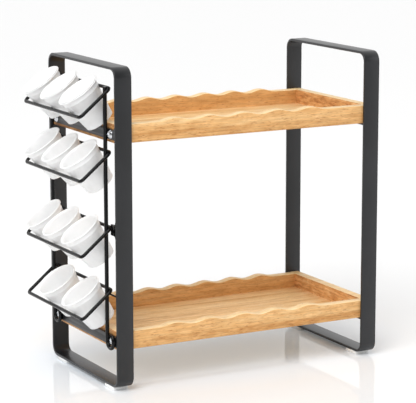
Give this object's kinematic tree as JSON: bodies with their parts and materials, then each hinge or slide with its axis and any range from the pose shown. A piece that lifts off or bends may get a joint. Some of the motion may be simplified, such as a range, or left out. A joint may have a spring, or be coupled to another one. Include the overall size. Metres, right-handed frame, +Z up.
{
  "type": "coffee station organizer",
  "caption": "Two-level countertop caddy: wavy-edged wooden trays between flat metal hoop frames, with a tiered wire rack for coffee pods on its left side.",
  "frame": {"origin": "middle of the base of the whole outline, on the surface that the part stands on", "axes": "+X along the trays, away from the pod rack; +Y from the front to the back; +Z up"},
  "size_m": [0.3837, 0.1756, 0.359],
  "materials": {
    "frame_paint": "matte charcoal powder coat",
    "wire_paint": "satin black powder coat",
    "wood": "light wood with a clear matte lacquer",
    "foot_pad": "smooth white",
    "screw_chrome": "polished",
    "pod_plastic": "glossy white",
    "lid_film": "smooth white film"
  },
  "bodies": {
    "stand": {"left_frame": "frame_paint", "right_frame": "frame_paint", "left_front_foot": "foot_pad", "left_rear_foot": "foot_pad", "right_front_foot": "foot_pad", "right_rear_foot": "foot_pad", "left_upper_crossbar": "frame_paint", "left_lower_crossbar": "frame_paint", "right_upper_crossbar": "frame_paint", "right_lower_crossbar": "frame_paint", "upper_support_tabs": "frame_paint", "lower_support_tabs": "frame_paint", "upper_front_board": "wood", "upper_rear_board": "wood", "upper_left_board": "wood", "upper_right_board": "wood", "upper_floor": "wood", "lower_front_board": "wood", "lower_rear_board": "wood", "lower_left_board": "wood", "lower_right_board": "wood", "lower_floor": "wood", "left_screws": "screw_chrome", "right_screws": "screw_chrome", "rack_front_wire": "wire_paint", "rack_rear_wire": "wire_paint", "rack_side_tabs": "wire_paint", "rack_stays": "wire_paint", "tier1_loop": "wire_paint", "tier2_loop": "wire_paint", "tier3_loop": "wire_paint", "tier4_loop": "wire_paint"},
    "tier1_front_pod_body": {"tier1_front_pod": "pod_plastic", "tier1_front_lid": "lid_film"},
    "tier1_middle_pod_body": {"tier1_middle_pod": "pod_plastic", "tier1_middle_lid": "lid_film"},
    "tier1_rear_pod_body": {"tier1_rear_pod": "pod_plastic", "tier1_rear_lid": "lid_film"},
    "tier2_front_pod_body": {"tier2_front_pod": "pod_plastic"},
    "tier2_middle_pod_body": {"tier2_middle_pod": "pod_plastic"},
    "tier2_rear_pod_body": {"tier2_rear_pod": "pod_plastic"},
    "tier3_front_pod_body": {"tier3_front_pod": "pod_plastic"},
    "tier3_middle_pod_body": {"tier3_middle_pod": "pod_plastic"},
    "tier3_rear_pod_body": {"tier3_rear_pod": "pod_plastic"},
    "tier4_front_pod_body": {"tier4_front_pod": "pod_plastic"},
    "tier4_rear_pod_body": {"tier4_rear_pod": "pod_plastic"}
  },
  "joints": [
    {"name": "tier1_front_pod_lift", "type": "slide", "parent": "stand", "child": "tier1_front_pod_body", "axis": [-0.6735, 0.0785, 0.735], "range_m": [0, 0.033]},
    {"name": "tier1_middle_pod_lift", "type": "slide", "parent": "stand", "child": "tier1_middle_pod_body", "axis": [-0.6735, 0.0785, 0.735], "range_m": [0, 0.033]},
    {"name": "tier1_rear_pod_lift", "type": "slide", "parent": "stand", "child": "tier1_rear_pod_body", "axis": [-0.6735, 0.0785, 0.735], "range_m": [0, 0.033]},
    {"name": "tier2_front_pod_lift", "type": "slide", "parent": "stand", "child": "tier2_front_pod_body", "axis": [-0.6735, 0.0785, 0.735], "range_m": [0, 0.033]},
    {"name": "tier2_middle_pod_lift", "type": "slide", "parent": "stand", "child": "tier2_middle_pod_body", "axis": [-0.6735, 0.0785, 0.735], "range_m": [0, 0.033]},
    {"name": "tier2_rear_pod_lift", "type": "slide", "parent": "stand", "child": "tier2_rear_pod_body", "axis": [-0.6735, 0.0785, 0.735], "range_m": [0, 0.033]},
    {"name": "tier3_front_pod_lift", "type": "slide", "parent": "stand", "child": "tier3_front_pod_body", "axis": [-0.6735, 0.0785, 0.735], "range_m": [0, 0.033]},
    {"name": "tier3_middle_pod_lift", "type": "slide", "parent": "stand", "child": "tier3_middle_pod_body", "axis": [-0.6735, 0.0785, 0.735], "range_m": [0, 0.033]},
    {"name": "tier3_rear_pod_lift", "type": "slide", "parent": "stand", "child": "tier3_rear_pod_body", "axis": [-0.6735, 0.0785, 0.735], "range_m": [0, 0.033]},
    {"name": "tier4_front_pod_lift", "type": "slide", "parent": "stand", "child": "tier4_front_pod_body", "axis": [-0.6735, 0.0785, 0.735], "range_m": [0, 0.033]},
    {"name": "tier4_rear_pod_lift", "type": "slide", "parent": "stand", "child": "tier4_rear_pod_body", "axis": [-0.6756, 0, 0.7373], "range_m": [0, 0.033]}
  ]
}
